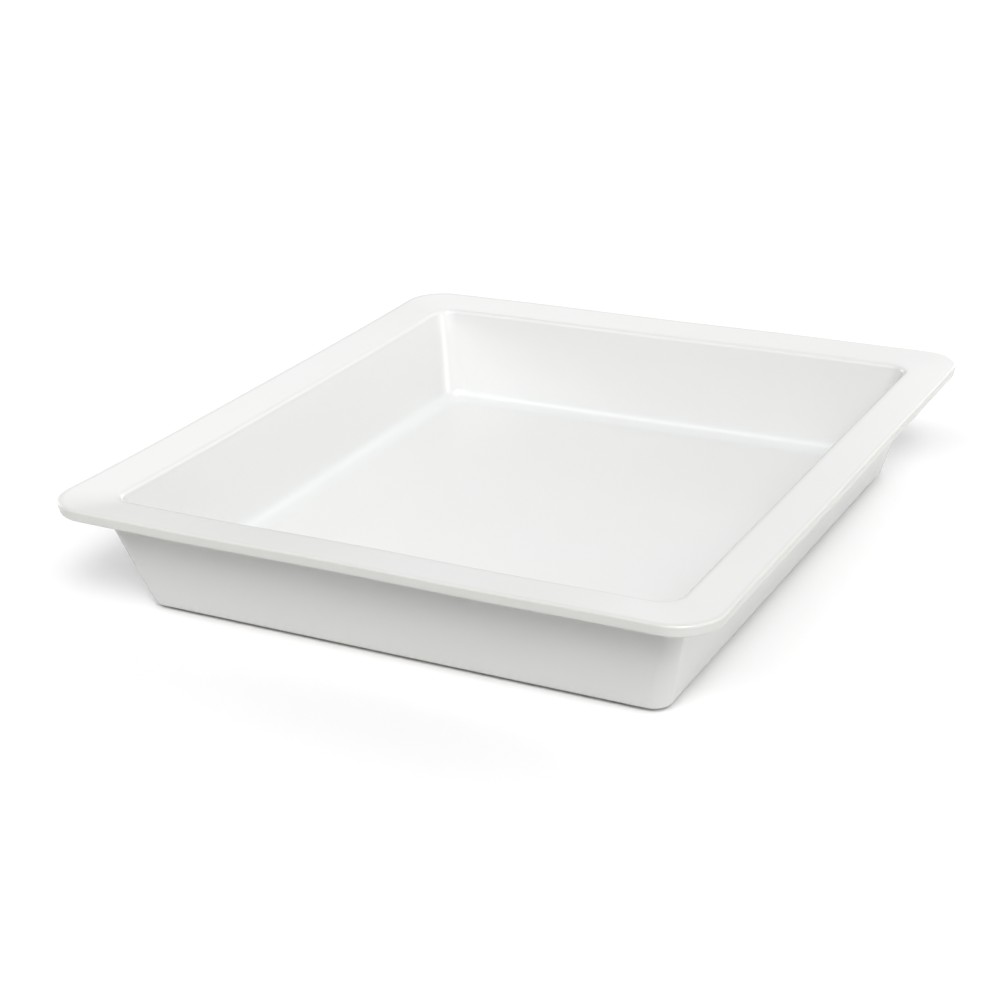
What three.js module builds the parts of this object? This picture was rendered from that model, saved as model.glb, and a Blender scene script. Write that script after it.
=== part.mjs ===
// A white glazed ceramic gastronorm dish: a shallow rectangular well with leaning walls, and a wide rim that
// hangs in a counter opening. Millimetres, +Z up. The origin is on the table, under the middle of the dish.
// The clay body is one fired moulding. A thin coat of glaze covers it from the base edge up over the rim and
// down into the well, and a second patch of glaze lies inside the foot ring, which is bare clay.
import * as THREE from "three";

// Overall sizes, over the glaze
const rimAcrossX = 325;
const rimAcrossY = 354;
const height = 59.5;

// Rim: the land is its top band. The lip stands a little higher than the edge of the well, and its face
// leans in towards its lower edge.
const rimLand = 23.3;
const rimRise = 2.2;
const lipThickness = 5.9;
const lipLeanDegrees = 12;

// Well: the wall's thickness is measured level, and its lean from upright
const wallThickness = 6.8;
const wallLeanDegrees = 15.4;
const floorThickness = 6.8;

// Foot: the base edge floats above the table, and the ring is set back under it
const baseEdgeHeight = 1.9;
const undersideHeight = 2.3;
const footSetback = 5;
const footWidth = 7;

// Glaze: its thickness, and the bare margin that is wiped clean beside the foot ring
const glazeThickness = 0.4;
const wipeMargin = 1;

// Roundings of the section
const baseEdgeRadius = 2.5;
const underRimRadius = 5;
const lipLowerRadius = 1.5;
const lipUpperRadius = 1;
const wellEdgeRadius = 3;
const floorFillet = 8;

// Radii of the four corners seen from above, and the least radius that a corner is drawn to
const footCorner = 12;
const baseCorner = 8;
const wallCorner = 8;
const rimCorner = 21.5;
const wellCorner = 10;
const floorCorner = 10;
const leastCorner = 1.5;

// Fineness of a plan corner and of the section's roundings
const planSteps = 7;
const tightSteps = 3;
const edgeSteps = 4;
const filletSteps = 8;

const glazeFinish = new THREE.MeshStandardMaterial({ color: 0xf3f4f1, roughness: 0.12, metalness: 0 });
const baseGlazeFinish = new THREE.MeshStandardMaterial({ color: 0xeeefeb, roughness: 0.16, metalness: 0 });
const clayFinish = new THREE.MeshStandardMaterial({ color: 0xd9cfbf, roughness: 0.85, metalness: 0 });

// The section is drawn in a plane: x is the inset from the widest part of the rim, y is the height above
// the table. The rim slopes and the lip leans, so their sharp corner lies above and outside the lip's
// upper rounding.
const wallLean = Math.tan(THREE.MathUtils.degToRad(wallLeanDegrees));
const lipLean = Math.tan(THREE.MathUtils.degToRad(lipLeanDegrees));
const rimSlope = rimRise / rimLand;
const lipSteepness = rimSlope * Math.hypot(1, lipLean) + Math.hypot(1, rimSlope);
const lipArcDrop = (lipUpperRadius * lipSteepness) / (1 - rimSlope * lipLean);
const lipOverhang = lipUpperRadius * (Math.hypot(1, lipLean) - 1) + lipLean * lipArcDrop;
const lipCornerHeight = height + lipArcDrop - lipUpperRadius;
const wellEdgeHeight = lipCornerHeight - rimSlope * (rimLand + lipOverhang);
const rimUnderside = height - lipThickness;
const lipLowerInset = lipLean * (lipCornerHeight - rimUnderside) - lipOverhang;
const floorHeight = undersideHeight + floorThickness;

// Insets of the two wall faces at a height
const innerWall = (z) => rimLand + (wellEdgeHeight - z) * wallLean;
const outerWall = (z) => innerWall(z) - wallThickness;

// Insets of the base edge, of the foot ring's two sides and of the two glaze edges beside it
const baseEdge = outerWall(baseEdgeHeight);
const footOutside = baseEdge + footSetback;
const footInside = footOutside + footWidth;
const coatEdge = footOutside - wipeMargin;
const baseGlazeEdge = footInside + wipeMargin;

// A corner of the section: its inset and height, its rounding, and the dish's corner seen from above there
function sectionCorner(inset, z, round, steps, plan) {
  return { at: new THREE.Vector2(inset, z), round, steps, plan };
}

// The glazed surface as a line with sharp corners, from the wiped margin to the middle of the well
const sharpSection = [
  { at: new THREE.Vector2(coatEdge, baseEdgeHeight), plan: footCornerAt(coatEdge) },
  sectionCorner(baseEdge, baseEdgeHeight, baseEdgeRadius, edgeSteps, baseCorner),
  sectionCorner(outerWall(rimUnderside), rimUnderside, underRimRadius, edgeSteps, wallCorner),
  sectionCorner(lipLowerInset, rimUnderside, lipLowerRadius, tightSteps, rimCornerAt(lipLowerInset)),
  sectionCorner(-lipOverhang, lipCornerHeight, lipUpperRadius, filletSteps, rimCornerAt(-lipOverhang)),
  sectionCorner(rimLand, wellEdgeHeight, wellEdgeRadius, edgeSteps, wellCorner),
  sectionCorner(innerWall(floorHeight), floorHeight, floorFillet, filletSteps, floorCorner),
  { at: new THREE.Vector2(rimAcrossX / 2, floorHeight) },
];

// A plan corner that runs parallel to a known one, at another inset
function parallelCorner(known, knownInset, inset) {
  return Math.max(leastCorner, known - (inset - knownInset));
}

// A plan corner that runs parallel to the widest part of the rim
function rimCornerAt(inset) {
  return parallelCorner(rimCorner, 0, inset);
}

// A plan corner that runs parallel to the foot ring's outside
function footCornerAt(inset) {
  return parallelCorner(footCorner, footOutside, inset);
}

// Replaces a sharp corner by an arc. Gives the arc's stations, each with its normal out of the material.
function roundedCorner(before, corner, after) {
  const arriving = corner.at.clone().sub(before.at);
  const leaving = after.at.clone().sub(corner.at);
  const room = Math.min(arriving.length(), leaving.length()) / 2;
  arriving.normalize();
  leaving.normalize();
  const turn = Math.atan2(arriving.cross(leaving), arriving.dot(leaving));
  const halfTurn = Math.tan(Math.abs(turn) / 2);
  const radius = Math.min(corner.round, room / halfTurn);
  const start = corner.at.clone().addScaledVector(arriving, -radius * halfTurn);
  const normal = new THREE.Vector2(-arriving.y, arriving.x);
  const centre = start.clone().addScaledVector(normal, radius * Math.sign(turn));
  return Array.from({ length: corner.steps + 1 }, (_, step) => {
    const angle = (turn * step) / corner.steps;
    const at = start.clone().rotateAround(centre, angle);
    return {
      at,
      normal: normal.clone().rotateAround(new THREE.Vector2(), angle),
      plan: parallelCorner(corner.plan, corner.at.x, at.x),
    };
  });
}

// All the stations of the glazed surface, from the wiped margin to the flat floor of the well
function glazedStations() {
  const [margin] = sharpSection;
  const start = { at: margin.at, normal: new THREE.Vector2(0, -1), plan: margin.plan };
  const corners = sharpSection.slice(1, -1);
  const arcs = corners.map((corner, i) => roundedCorner(sharpSection[i], corner, sharpSection[i + 2]));
  return [start, ...arcs.flat()];
}

// One level of the dish: a rounded rectangle, counter-clockwise from above
function level(inset, z, plan) {
  const x = rimAcrossX / 2 - inset - plan;
  const y = rimAcrossY / 2 - inset - plan;
  const quarter = Math.PI / 2;
  const centres = [[x, y], [-x, y], [-x, -y], [x, -y]];
  return centres.flatMap(([cx, cy], i) =>
    new THREE.EllipseCurve(cx, cy, plan, plan, i * quarter, (i + 1) * quarter)
      .getPoints(planSteps)
      .map((point) => new THREE.Vector3(point.x, point.y, z)),
  );
}

// The levels of the glazed surface, or of a surface at an even depth below it
function levelsAtDepth(stations, depth) {
  return stations.map(({ at, normal, plan }) =>
    level(at.x - depth * normal.x, at.y - depth * normal.y, plan + depth * normal.x),
  );
}

// A level that runs parallel to the foot ring
function footLevel(inset, z) {
  return level(inset, z, footCornerAt(inset));
}

// Triangles that join each level to the next
function loft(levels) {
  const triangles = [];
  for (let i = 0; i + 1 < levels.length; i++) {
    const [here, next] = [levels[i], levels[i + 1]];
    here.forEach((point, k) => {
      const k1 = (k + 1) % here.length;
      triangles.push([point, here[k1], next[k1]]);
      triangles.push([point, next[k1], next[k]]);
    });
  }
  return triangles;
}

// Triangles that fill a level, facing up
function fill(points) {
  const middle = new THREE.Vector3(0, 0, points[0].z);
  return points.map((point, k) => [middle, point, points[(k + 1) % points.length]]);
}

const turnedOver = (triangles) => triangles.map(([a, b, c]) => [a, c, b]);

function piece(name, triangles, material) {
  const geometry = new THREE.BufferGeometry().setFromPoints(triangles.flat());
  geometry.computeVertexNormals();
  const mesh = new THREE.Mesh(geometry, material);
  mesh.name = name;
  return mesh;
}

// The glazed face and the face where glaze and clay are fused, which both pieces share
const stations = glazedStations();
const glazedFace = levelsAtDepth(stations, 0);
const fusedFace = levelsAtDepth(stations, glazeThickness);

function ceramicBody() {
  const underside = footLevel(footInside, undersideHeight);
  const footSole = [footLevel(footInside, 0), footLevel(footOutside, 0)];
  const footTop = footLevel(footOutside, baseEdgeHeight + glazeThickness);
  const skin = loft([underside, ...footSole, footTop, ...fusedFace]);
  const floor = fill(fusedFace.at(-1));
  return piece("ceramic_body", [...turnedOver(fill(underside)), ...skin, ...floor], clayFinish);
}

function glazeCoat() {
  const wipedEdge = loft([fusedFace[0], glazedFace[0]]);
  const outside = [...loft(glazedFace), ...fill(glazedFace.at(-1))];
  const inside = turnedOver([...loft(fusedFace), ...fill(fusedFace.at(-1))]);
  return piece("glaze_coat", [...outside, ...inside, ...wipedEdge], glazeFinish);
}

function baseGlaze() {
  const lower = footLevel(baseGlazeEdge, undersideHeight - glazeThickness);
  const upper = footLevel(baseGlazeEdge, undersideHeight);
  const faces = [...turnedOver(fill(lower)), ...loft([lower, upper]), ...fill(upper)];
  return piece("base_glaze", faces, baseGlazeFinish);
}

const dish = new THREE.Group();
dish.add(ceramicBody(), glazeCoat(), baseGlaze());

export default dish;
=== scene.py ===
"""A white glazed ceramic gastronorm dish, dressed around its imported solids. Metres, +Z up."""
import math

import bmesh
import bpy
from mathutils import Matrix, Vector


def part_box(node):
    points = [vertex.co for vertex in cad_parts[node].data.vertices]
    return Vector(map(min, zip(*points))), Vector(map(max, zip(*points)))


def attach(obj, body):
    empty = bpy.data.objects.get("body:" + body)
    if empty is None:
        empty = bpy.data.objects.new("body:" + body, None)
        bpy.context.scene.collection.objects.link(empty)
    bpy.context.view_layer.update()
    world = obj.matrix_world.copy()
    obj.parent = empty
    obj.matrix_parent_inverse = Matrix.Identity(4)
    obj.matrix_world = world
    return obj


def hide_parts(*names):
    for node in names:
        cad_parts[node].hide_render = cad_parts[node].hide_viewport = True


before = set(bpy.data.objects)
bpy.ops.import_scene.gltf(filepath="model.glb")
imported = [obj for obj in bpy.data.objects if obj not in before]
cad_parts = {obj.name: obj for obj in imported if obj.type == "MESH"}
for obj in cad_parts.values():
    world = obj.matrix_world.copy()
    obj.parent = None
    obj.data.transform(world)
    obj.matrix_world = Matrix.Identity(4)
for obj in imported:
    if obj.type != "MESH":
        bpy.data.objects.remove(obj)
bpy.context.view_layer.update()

MM = 0.001

# Overall sizes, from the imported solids
coat_low, coat_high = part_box("glaze_coat")
rim_across = coat_high - coat_low
height = coat_high.z

# Section of the dish, over the glaze
rim_land = 23.3 * MM
rim_rise = 2.2 * MM
lip_thickness = 5.9 * MM
lip_lean = math.tan(math.radians(12))
wall_thickness = 6.8 * MM
wall_lean = math.tan(math.radians(15.4))
floor_height = 9.1 * MM
base_edge_height = 1.9 * MM
underside_height = 2.3 * MM
foot_setback = 5 * MM
foot_width = 7 * MM
glaze_thickness = 0.4 * MM
wipe_margin = 1 * MM

# Roundings of the section
glaze_bead = 0.35 * MM
base_edge_radius = 2.5 * MM
under_rim_radius = 5 * MM
lip_lower_radius = 1.5 * MM
lip_upper_radius = 1 * MM
well_edge_radius = 3 * MM
floor_fillet = 8 * MM
sole_radius = 1.1 * MM
foot_root_radius = 0.5 * MM

# Corners seen from above, and the half width of the flat patch that closes the middle of a face
foot_corner = 12 * MM
base_corner = 8 * MM
wall_corner = 8 * MM
rim_corner = 21.5 * MM
well_corner = 10 * MM
floor_corner = 10 * MM
least_corner = 1.5 * MM
middle_patch = 3 * MM

# Unevenness from the firing: the left side is drawn in, evenly but for its ends, and the rim dips a little
# between its corners. The bands give where a side begins and is full, as shares of the way from the middle
# to the rim.
left_side_bow = 3.6 * MM
bow_flatness = 4
left_band = (0.25, 0.7)
rim_dip = 0.45 * MM
dip_spacing = 142 * MM
dip_shift = 80 * MM
right_dip_shift = 30 * MM
rim_band = (0.6, 0.9)
weak_dip = 0.6

# Fineness of the meshes
corner_steps = 12
side_cuts = 44
arc_step = math.radians(9)
arc_chord = 0.3 * MM
straight_step = 5.5 * MM
level_with = 1e-7

# Colours
thin_glaze = (0.72, 0.717, 0.703, 1)
pooled_glaze = (0.708, 0.72, 0.718, 1)
thin_base_glaze = (0.69, 0.687, 0.652, 1)
pooled_base_glaze = (0.688, 0.698, 0.684, 1)
# The edge tone is darker partly for thin glaze over an edge and partly as painted shade that dims the edge's
# highlight
edge_glaze_and_shade = (0.652, 0.65, 0.628, 1)
pinhole_tone = (0.36, 0.34, 0.30, 1)
dark_clay = (0.40, 0.32, 0.235, 1)
light_clay = (0.60, 0.52, 0.42, 1)
rubbed_clay = (0.56, 0.53, 0.48, 1)
clay_speck = (0.20, 0.13, 0.08, 1)
floor_tone = (0.93, 0.93, 0.93, 1)
table_tone = (0.6, 0.6, 0.59, 1)

# Glaze: how far apart the drifts of its tone, its ripples, its dull blooms and its pinholes are, how
# detailed they are, and its gloss
drift_size = 60 * MM
drift_detail = 3
ripple_size = 7 * MM
ripple_detail = 2
bloom_size = 26 * MM
bloom_detail = 5
bloom_band = (0.45, 0.75)
pinhole_spacing = 6 * MM
pinhole_radius = 0.25 * MM
pinhole_shade = 0.2
glaze_relief = 0.05 * MM
ripple_relief = 0.3
pinhole_relief = 0.8
glaze_roughness = 0.13
ripple_roughness = 0.05
coat_bloom = 0.04
base_bloom = 0.2

# Glaze: how cool its tone is on a flat face, what a hollow and the drift add to that, how far beside a
# hollow or an edge the glaze is even again, and the rounding of an edge on which it is thinnest and darkest,
# partly as painted shade
flat_coolness = 0.4
hollow_coolness = 0.5
drift_coolness = 0.7
mean_drift = 0.5
edge_fade = 1.8 * MM
edge_radius = 1 * MM

# Bare clay: how coarse and detailed its grain, clouds and specks are, and how dark or rubbed they make it
grain_size = 0.9 * MM
grain_detail = 4
cloud_size = 24 * MM
cloud_detail = 3
speck_spacing = 2.4 * MM
speck_radius = 0.4 * MM
speck_shade = 0.6
grain_relief = 0.12 * MM
grain_paleness = 0.55
cloud_paleness = 0.7
least_paleness = -0.15
rubbed_height = (0.05 * MM, 0.4 * MM)
rubbed_band = (0.35, 0.6)
rubbed_paleness = 0.45
rubbed_smoothness = 0.6
clay_roughness = 0.92
rubbed_polish = 0.3

# The numbers of a colour Mix node's two inputs and of its output, whose names aren't unique
mix_first, mix_second, mix_result = 6, 7, 2

# The camera that took the photograph: its place, its turn about its own axis and its lens
camera_place = Vector((425.0, -823.6, 407.8)) * MM
camera_target = Vector((-37.36, 30.51, 1.5)) * MM
camera_roll = math.radians(-2.15)
camera_lens = 73.34
camera_sensor = 36

# Insets from the widest part of the rim, and heights. The rim slopes and the lip leans, so their sharp
# corner lies above and outside the lip's upper rounding.
rim_slope = rim_rise / rim_land
lip_steepness = rim_slope * math.hypot(1, lip_lean) + math.hypot(1, rim_slope)
lip_arc_drop = lip_upper_radius * lip_steepness / (1 - rim_slope * lip_lean)
lip_overhang = lip_upper_radius * (math.hypot(1, lip_lean) - 1) + lip_lean * lip_arc_drop
lip_corner_height = height + lip_arc_drop - lip_upper_radius
well_edge_height = lip_corner_height - rim_slope * (rim_land + lip_overhang)
rim_underside = height - lip_thickness
lip_lower_inset = lip_lean * (lip_corner_height - rim_underside) - lip_overhang
clay_edge_height = base_edge_height + glaze_thickness


def inner_wall(z):
    return rim_land + (well_edge_height - z) * wall_lean


def outer_wall(z):
    return inner_wall(z) - wall_thickness


base_edge = outer_wall(base_edge_height)
foot_outside = base_edge + foot_setback
foot_inside = foot_outside + foot_width
coat_edge = foot_outside - wipe_margin
base_glaze_edge = foot_inside + wipe_margin
middle = rim_across.x / 2 - middle_patch


def ease(low, high, value):
    """A smooth step from 0 at low to 1 at high."""
    share = min(max((value - low) / (high - low), 0), 1)
    return share * share * (3 - 2 * share)


class Corner:
    """A corner of a section line: its inset and height, its rounding and the plan corner there."""

    def __init__(self, inset, z, plan, round_to=0.0):
        self.at = Vector((inset, z))
        self.plan = plan
        self.round_to = round_to

    def parallel(self, inset):
        """The plan corner that runs parallel to this one, at another inset."""
        return max(least_corner, self.plan - (inset - self.at.x))


class Level:
    """A level of a section line: its inset and height, its plan corner, and how the glaze pools or thins
    there; where it thins over an edge, its tone is darkened partly as painted shade.
    """

    def __init__(self, at, plan, pool=0.0):
        self.at = at
        self.plan = plan
        self.pool = pool

    def towards(self, other, share):
        """A level on the straight stretch from this one to another, where glaze is of an even depth."""
        return Level(self.at.lerp(other.at, share), self.plan + (other.plan - self.plan) * share)


def turn_between(arriving, leaving):
    return math.atan2(arriving.x * leaving.y - arriving.y * leaving.x, arriving.dot(leaving))


def outward(direction):
    """The way out of the material beside a section line."""
    return Vector((-direction.y, direction.x))


def rounded(before, corner, after):
    """The levels of the arc that replaces a corner. Glaze pools in a hollow and thins over a tight edge,
    whose darker tone is partly painted shade.
    """
    arriving = (corner.at - before.at).normalized()
    leaving = (after.at - corner.at).normalized()
    turn = turn_between(arriving, leaving)
    if not corner.round_to:
        return [Level(corner.at, corner.plan)]
    start = corner.at - arriving * corner.round_to * math.tan(abs(turn) / 2)
    centre = start + outward(arriving) * math.copysign(corner.round_to, turn)
    steps = min(math.ceil(abs(turn) / arc_step), math.ceil(abs(turn) * corner.round_to / arc_chord))
    turns = [Matrix.Rotation(turn * step / steps, 2) for step in range(steps + 1)]
    points = [centre + turned @ (start - centre) for turned in turns]
    # Negative on a tight edge, where the tone is darkened partly for thinner glaze and partly as painted
    # shade over its highlight
    pool = 1 if turn > 0 else -min(1, (edge_radius / corner.round_to) ** 2)
    return [Level(at, corner.parallel(at.x), pool) for at in points]


def section_levels(corners):
    """The levels of a section line, with its arcs, and its straight stretches cut into even steps."""
    levels = [Level(corners[0].at, corners[0].plan)]
    for before, corner, after in zip(corners, corners[1:], corners[2:]):
        levels += rounded(before, corner, after)
    levels.append(Level(corners[-1].at, corners[-1].plan))
    fine = levels[:1]
    for here, there in zip(levels, levels[1:]):
        length = (there.at - here.at).length
        if length > 2 * edge_fade:
            fade = edge_fade / length
            pieces = math.ceil((length - 2 * edge_fade) / straight_step)
            shares = [fade + (1 - 2 * fade) * number / pieces for number in range(pieces + 1)]
            fine += [here.towards(there, share) for share in shares]
        fine.append(there)
    return fine


def sunk(corners, depth):
    """A section line at an even depth inside the material of another."""
    ways = [(there.at - here.at).normalized() for here, there in zip(corners, corners[1:])]
    inner = []
    for corner, arriving, leaving in zip(corners, ways[:1] + ways, ways + ways[-1:]):
        out, next_out = outward(arriving), outward(leaving)
        at = corner.at - (out + next_out) * depth / (1 + out.dot(next_out))
        turn = turn_between(arriving, leaving)
        round_to = corner.round_to and corner.round_to + math.copysign(depth, turn)
        inner.append(Corner(at.x, at.y, corner.parallel(at.x), round_to))
    return inner


def ring(bm, inset, plan, z):
    """A rounded rectangle of edges."""
    place = Matrix.Translation((0, 0, z))
    place = place @ Matrix.Diagonal((rim_across.x - 2 * inset, rim_across.y - 2 * inset, 1, 1))
    corners = bmesh.ops.create_grid(bm, x_segments=1, y_segments=1, size=0.5, matrix=place)["verts"]
    arcs = bmesh.ops.bevel(
        bm, geom=corners, offset=plan, offset_type="OFFSET", segments=corner_steps, profile=0.5,
        affect="VERTICES", material=-1, clamp_overlap=False,
    )
    face = arcs["verts"][0].link_faces[0]
    sides = [e for e in face.edges if min(abs(c) for c in (e.verts[0].co - e.verts[1].co).xy) < level_with]
    bmesh.ops.subdivide_edges(bm, edges=sides, cuts=side_cuts)
    edges = list(face.edges)
    bmesh.ops.delete(bm, geom=[face], context="FACES_ONLY")
    return edges


def settling(point):
    """How far the firing moved a point of the dish."""
    across = 2 * point.x / rim_across.x
    along = 2 * point.y / rim_across.y
    lift = ease(floor_height, rim_underside, point.z)
    wave = math.cos(math.tau * (point.x + dip_shift) / dip_spacing)
    right_wave = math.cos(math.tau * (point.y + right_dip_shift) / dip_spacing)
    front_dip = ease(*rim_band, -along) * (1 + wave)
    far_dip = weak_dip * ease(*rim_band, along) * (1 - wave)
    right_dip = weak_dip * ease(*rim_band, across) * (1 + right_wave)
    bow = left_side_bow * lift * (1 - along ** bow_flatness) * ease(*left_band, -across)
    return Vector((bow, 0, -rim_dip * lift * (front_dip + far_dip + right_dip) / 2))


def loft(levels, close_start=False, close_end=False):
    """A skin through the levels, whose ends may be filled. The rings are joined in a tall stack, because
    level rings inside one another can be joined the wrong way round. Then each goes to its own height."""
    bm = bmesh.new()
    pool = bm.verts.layers.float.new("pool")
    stack = [ring(bm, level.at.x, level.plan, storey) for storey, level in enumerate(levels)]
    for here, there in zip(stack, stack[1:]):
        bmesh.ops.bridge_loops(bm, edges=here + there)
    for edges in [stack[0]] * close_start + [stack[-1]] * close_end:
        bmesh.ops.edgeloop_fill(bm, edges=edges)
    for storey, (edges, level) in enumerate(zip(stack, levels)):
        points = list({point for edge in edges for point in edge.verts})
        bmesh.ops.translate(bm, verts=points, vec=(0, 0, level.at.y - storey))
        for point in points:
            point[pool] = level.pool
    for point in bm.verts:
        point.co += settling(point.co)
    bmesh.ops.recalc_face_normals(bm, faces=bm.faces)
    return bm


def piece(name, bm, finish, node):
    """Turns a mesh into a piece of the dish that stands for a solid."""
    mesh = bpy.data.meshes.new(name)
    for face in bm.faces:
        face.smooth = True
    bm.to_mesh(mesh)
    bm.free()
    made = bpy.data.objects.new(name, mesh)
    bpy.context.scene.collection.objects.link(made)
    mesh.materials.append(finish)
    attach(made, "root")
    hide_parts(node)
    return made


glazed_line = [
    Corner(coat_edge, base_edge_height, foot_corner + wipe_margin),
    Corner(base_edge, base_edge_height, base_corner, base_edge_radius),
    Corner(outer_wall(rim_underside), rim_underside, wall_corner, under_rim_radius),
    Corner(lip_lower_inset, rim_underside, rim_corner - lip_lower_inset, lip_lower_radius),
    Corner(-lip_overhang, lip_corner_height, rim_corner + lip_overhang, lip_upper_radius),
    Corner(rim_land, well_edge_height, well_corner, well_edge_radius),
    Corner(inner_wall(floor_height), floor_height, floor_corner, floor_fillet),
    Corner(middle, floor_height, least_corner),
]


def foot_line_corner(inset, z, round_to=0.0):
    """A corner of the section that runs parallel to the foot ring."""
    return Corner(inset, z, max(least_corner, foot_corner - (inset - foot_outside)), round_to)


class Tone:
    """A node's output, for shader maths written as Python expressions."""

    def __init__(self, nodes, socket):
        self.nodes = nodes
        self.socket = socket

    def maths(self, operation, first, second):
        return self.nodes.add("ShaderNodeMath", {"operation": operation}, {0: first, 1: second})

    def __add__(self, other):
        return self.maths("ADD", self, other)

    def __sub__(self, other):
        return self.maths("SUBTRACT", self, other)

    def __rsub__(self, other):
        return self.maths("SUBTRACT", other, self)

    def __mul__(self, other):
        return self.maths("MULTIPLY", self, other)

    def __pow__(self, power):
        return self.maths("POWER", self, power)

    __radd__ = __add__
    __rmul__ = __mul__

    def at_least(self, least):
        return self.maths("MAXIMUM", self, least)

    def between(self, low, high):
        """0 at low and 1 at high, with a smooth step from the one to the other."""
        settings = {"interpolation_type": "SMOOTHSTEP"}
        sockets = {"Value": self, "From Min": low, "From Max": high}
        return self.nodes.add("ShaderNodeMapRange", settings, sockets)


class Nodes:
    """The nodes of a material or of the world, around the shader that it starts with."""

    def __init__(self, owner, shader):
        owner.use_nodes = True
        self.owner = owner
        self.tree = owner.node_tree
        self.shader = self.tree.nodes[shader]

    def feed(self, socket, value):
        if isinstance(value, Tone):
            self.tree.links.new(value.socket, socket)
        else:
            socket.default_value = value

    def add(self, kind, settings, sockets, output=0):
        made = self.tree.nodes.new(kind)
        for name, value in settings.items():
            setattr(made, name, value)
        for name, value in sockets.items():
            self.feed(made.inputs[name], value)
        return Tone(self, made.outputs[output])

    def finish(self, sockets):
        """Feeds the shader, and gives the material or world back."""
        for name, value in sockets.items():
            self.feed(self.shader.inputs[name], value)
        return self.owner


class Finish(Nodes):
    """A material around one Principled shader, with its patterns on the object's own coordinates."""

    def __init__(self, name):
        super().__init__(bpy.data.materials.new(name), "Principled BSDF")
        self.place = self.add("ShaderNodeTexCoord", {}, {}, "Object")

    def attribute(self, name):
        return self.add("ShaderNodeAttribute", {"attribute_name": name}, {}, "Fac")

    def height(self):
        return self.add("ShaderNodeSeparateXYZ", {}, {"Vector": self.place}, "Z")

    def noise(self, size, detail):
        """Noise from 0 to 1 whose patches are about the given size."""
        return self.add("ShaderNodeTexNoise", {}, {"Vector": self.place, "Scale": 1 / size, "Detail": detail})

    def dots(self, spacing, radius):
        """Scattered round dots, 1 in the middle of a dot and 0 outside it. Few of them reach the surface."""
        sockets = {"Vector": self.place, "Scale": 1 / spacing}
        distance = self.add("ShaderNodeTexVoronoi", {}, sockets, "Distance")
        return 1 - (distance * spacing).between(radius / 2, radius)

    def blend(self, share, first, second):
        """A colour between two colours."""
        sockets = {"Factor": share, mix_first: first, mix_second: second}
        return self.add("ShaderNodeMix", {"data_type": "RGBA"}, sockets, mix_result)

    def bump(self, rise, depth):
        """A normal from a height map, whose range of 0 to 1 stands for a depth."""
        return self.add("ShaderNodeBump", {}, {"Height": rise, "Distance": depth})


def glaze(name, thin_tone, pooled_tone, bloom_roughness):
    """Glossy white glaze. It is cooler where it pools and darker where it thins over a tight edge, a
    darkening that is partly painted shade dimming the edge's highlight. It has a faint ripple and a few
    pinholes. Where the kiln left a bloom on it, it is a little duller."""
    made = Finish(name)
    drift = made.noise(drift_size, drift_detail)
    ripple = made.noise(ripple_size, ripple_detail)
    bloom = made.noise(bloom_size, bloom_detail).between(*bloom_band)
    pinholes = made.dots(pinhole_spacing, pinhole_radius)
    pool = made.attribute("pool")
    cool = flat_coolness + hollow_coolness * pool.at_least(0) + drift_coolness * (drift - mean_drift)
    # On a tight edge the tone darkens towards the edge colour, partly for thinner glaze and partly as painted
    # shade
    tone = made.blend((0 - pool).at_least(0), made.blend(cool, thin_tone, pooled_tone), edge_glaze_and_shade)
    return made.finish({
        "Base Color": made.blend(pinhole_shade * pinholes, tone, pinhole_tone),
        "Roughness": glaze_roughness + ripple_roughness * ripple + bloom_roughness * bloom,
        "Normal": made.bump(ripple_relief * ripple + drift - pinhole_relief * pinholes, glaze_relief),
    })


def bare_clay():
    """Fired buff clay: grainy, clouded and specked, and rubbed smoother on the sole of the foot ring."""
    made = Finish("bare_clay")
    grain = made.noise(grain_size, grain_detail)
    clouds = made.noise(cloud_size, cloud_detail)
    specks = made.dots(speck_spacing, speck_radius)
    rubbed = (1 - made.height().between(*rubbed_height)) * clouds.between(*rubbed_band)
    pale = grain_paleness * grain + cloud_paleness * clouds + least_paleness
    tone = made.blend(rubbed_paleness * rubbed, made.blend(pale, dark_clay, light_clay), rubbed_clay)
    return made.finish({
        "Base Color": made.blend(speck_shade * specks, tone, clay_speck),
        "Roughness": clay_roughness - rubbed_polish * rubbed,
        "Normal": made.bump(grain * (1 - rubbed_smoothness * rubbed), grain_relief),
    })


def glaze_coat(finish):
    """The white coat, a skin of even thickness that ends in a rounded bead beside the foot ring."""
    bead = [
        Corner(coat_edge, clay_edge_height, foot_corner + wipe_margin),
        Corner(coat_edge, base_edge_height, foot_corner + wipe_margin, glaze_bead),
    ]
    skin = loft(section_levels(bead + glazed_line[1:]), close_end=True)
    coat = piece("glaze_coat_skin", skin, finish, "glaze_coat")
    wall = coat.modifiers.new("thickness", "SOLIDIFY")
    wall.thickness = glaze_thickness
    wall.offset = -1
    return coat


def clay_body(finish):
    """The fired body under the glaze, with its bare foot ring."""
    foot = [
        Corner(middle, underside_height, least_corner),
        foot_line_corner(foot_inside, underside_height, foot_root_radius),
        foot_line_corner(foot_inside, 0, sole_radius),
        foot_line_corner(foot_outside, 0, sole_radius),
        foot_line_corner(foot_outside, clay_edge_height, foot_root_radius),
    ]
    line = foot + sunk(glazed_line, glaze_thickness)
    skin = loft(section_levels(line), True, True)
    return piece("clay_body", skin, finish, "ceramic_body")


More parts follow.
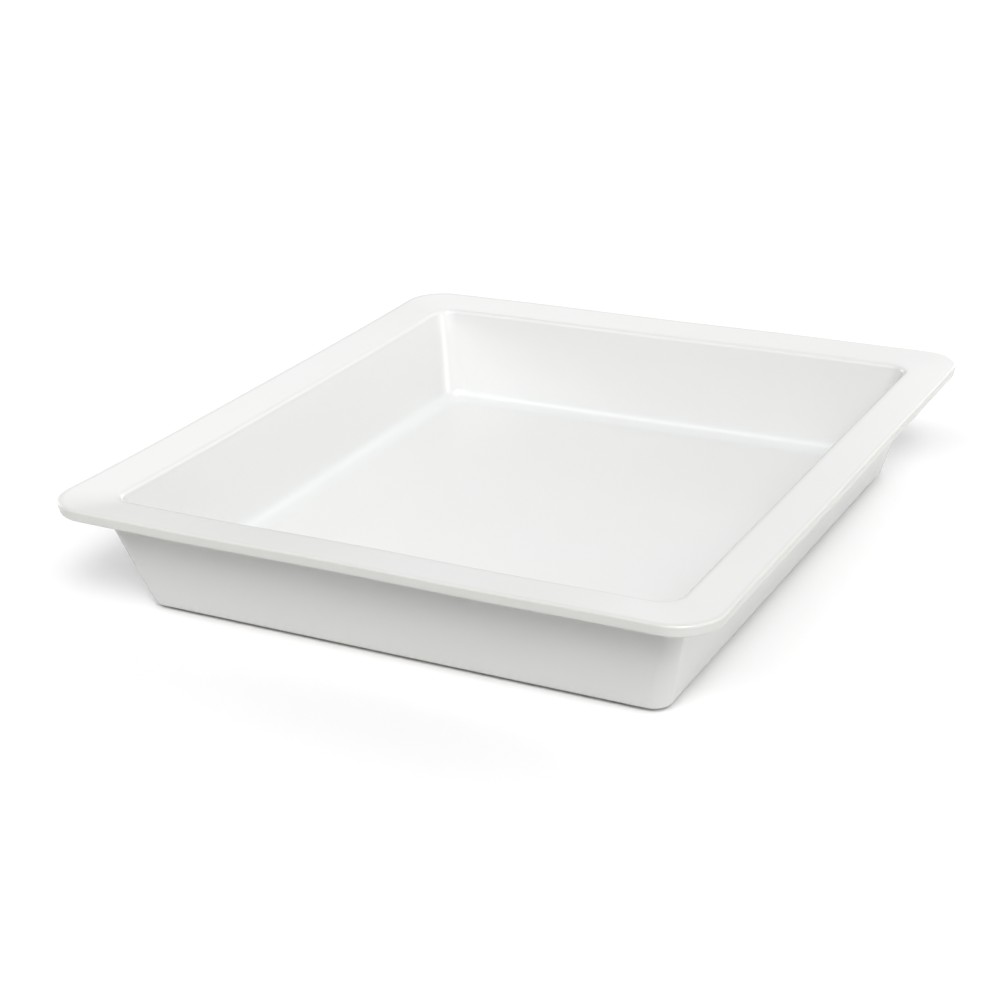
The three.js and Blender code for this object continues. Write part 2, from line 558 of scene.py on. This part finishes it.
def base_patch(finish):
    """The patch of glaze inside the foot ring, with rounded edges."""
    line = [
        Corner(middle, underside_height, least_corner),
        foot_line_corner(base_glaze_edge, underside_height),
        foot_line_corner(base_glaze_edge, underside_height - glaze_thickness, glaze_bead),
        Corner(middle, underside_height - glaze_thickness, least_corner),
    ]
    skin = loft(section_levels(line), True, True)
    return piece("base_glaze_patch", skin, finish, "base_glaze")


glaze_coat(glaze("white_glaze", thin_glaze, pooled_glaze, coat_bloom))
clay_body(bare_clay())
base_patch(glaze("base_glaze", thin_base_glaze, pooled_base_glaze, base_bloom))

# The floor under the dish: the white sheet that is seen, and close below it the dimmer table that lights
# the dish
floor_size = 60
floor_roughness = 0.9
table_depth = 0.05 * MM


def sheet(name, z, tone):
    """A wide level sheet that isn't part of the dish."""
    mesh = bpy.data.meshes.new(name)
    bm = bmesh.new()
    place = Matrix.Translation((0, 0, z))
    bmesh.ops.create_grid(bm, x_segments=1, y_segments=1, size=floor_size / 2, matrix=place)
    bm.to_mesh(mesh)
    bm.free()
    made = bpy.data.objects.new(name, mesh)
    bpy.context.scene.collection.objects.link(made)
    mesh.materials.append(Finish(name).finish({"Base Color": tone, "Roughness": floor_roughness}))
    return made


floor = sheet("floor", 0, floor_tone)
floor.visible_diffuse = False
floor.visible_shadow = False
table = sheet("table", -table_depth, table_tone)
table.visible_camera = False
table.visible_glossy = False

# Light from a sky with broad lobes: each has its azimuth (0 is the front and 90 the right), its elevation,
# its narrowness and its strength. An even light comes from below, for views of the underside.
sky_lobes = [
    (0, 42, 60, 8.8),
    (38, 45, 50, 18.3),
    (322, 45, 50, 3.5),
    (90, 14, 40, 4.8),
    (120, 30, 30, 2.1),
    (150, 30, 30, 1.5),
    (180, 64, 20, 0.84),
    (180, 12, 25, 4.2),
    (215, 30, 30, 1.3),
    (250, 12, 25, 4.4),
]
light_from_below = 0.5
below_band = (0, 0.1)


class Sky(Nodes):
    """The world, whose light depends on the direction it comes from."""

    def __init__(self, name):
        super().__init__(bpy.data.worlds.new(name), "Background")
        self.direction = self.add("ShaderNodeTexCoord", {}, {}, "Generated")

    def facing(self, azimuth, elevation):
        """1 towards a direction, 0 square to it and -1 away from it."""
        rise = Matrix.Rotation(math.radians(-elevation), 3, "X")
        turn = Matrix.Rotation(math.radians(azimuth), 3, "Z")
        sockets = {0: self.direction, 1: turn @ rise @ Vector((0, -1, 0))}
        return self.add("ShaderNodeVectorMath", {"operation": "DOT_PRODUCT"}, sockets, "Value")

    def lobe(self, azimuth, elevation, narrowness, strength):
        return strength * self.facing(azimuth, elevation).at_least(0) ** narrowness

    def studio(self, lobes, below):
        even = below * self.facing(0, -90).between(*below_band)
        light = sum((self.lobe(*lobe) for lobe in lobes), start=even)
        return self.finish({"Color": (1, 1, 1, 1), "Strength": light})


bpy.context.scene.world = Sky("studio").studio(sky_lobes, light_from_below)

# Camera
camera_data = bpy.data.cameras.new("camera")
camera = bpy.data.objects.new("camera", camera_data)
bpy.context.scene.collection.objects.link(camera)
camera_data.lens = camera_lens
camera_data.sensor_width = camera_sensor
turn = (camera_target - camera_place).to_track_quat("-Z", "Y").to_matrix().to_4x4()
camera.matrix_world = Matrix.Translation(camera_place) @ turn @ Matrix.Rotation(camera_roll, 4, "Z")
bpy.context.scene.camera = camera
bpy.context.scene.view_settings.view_transform = "Standard"
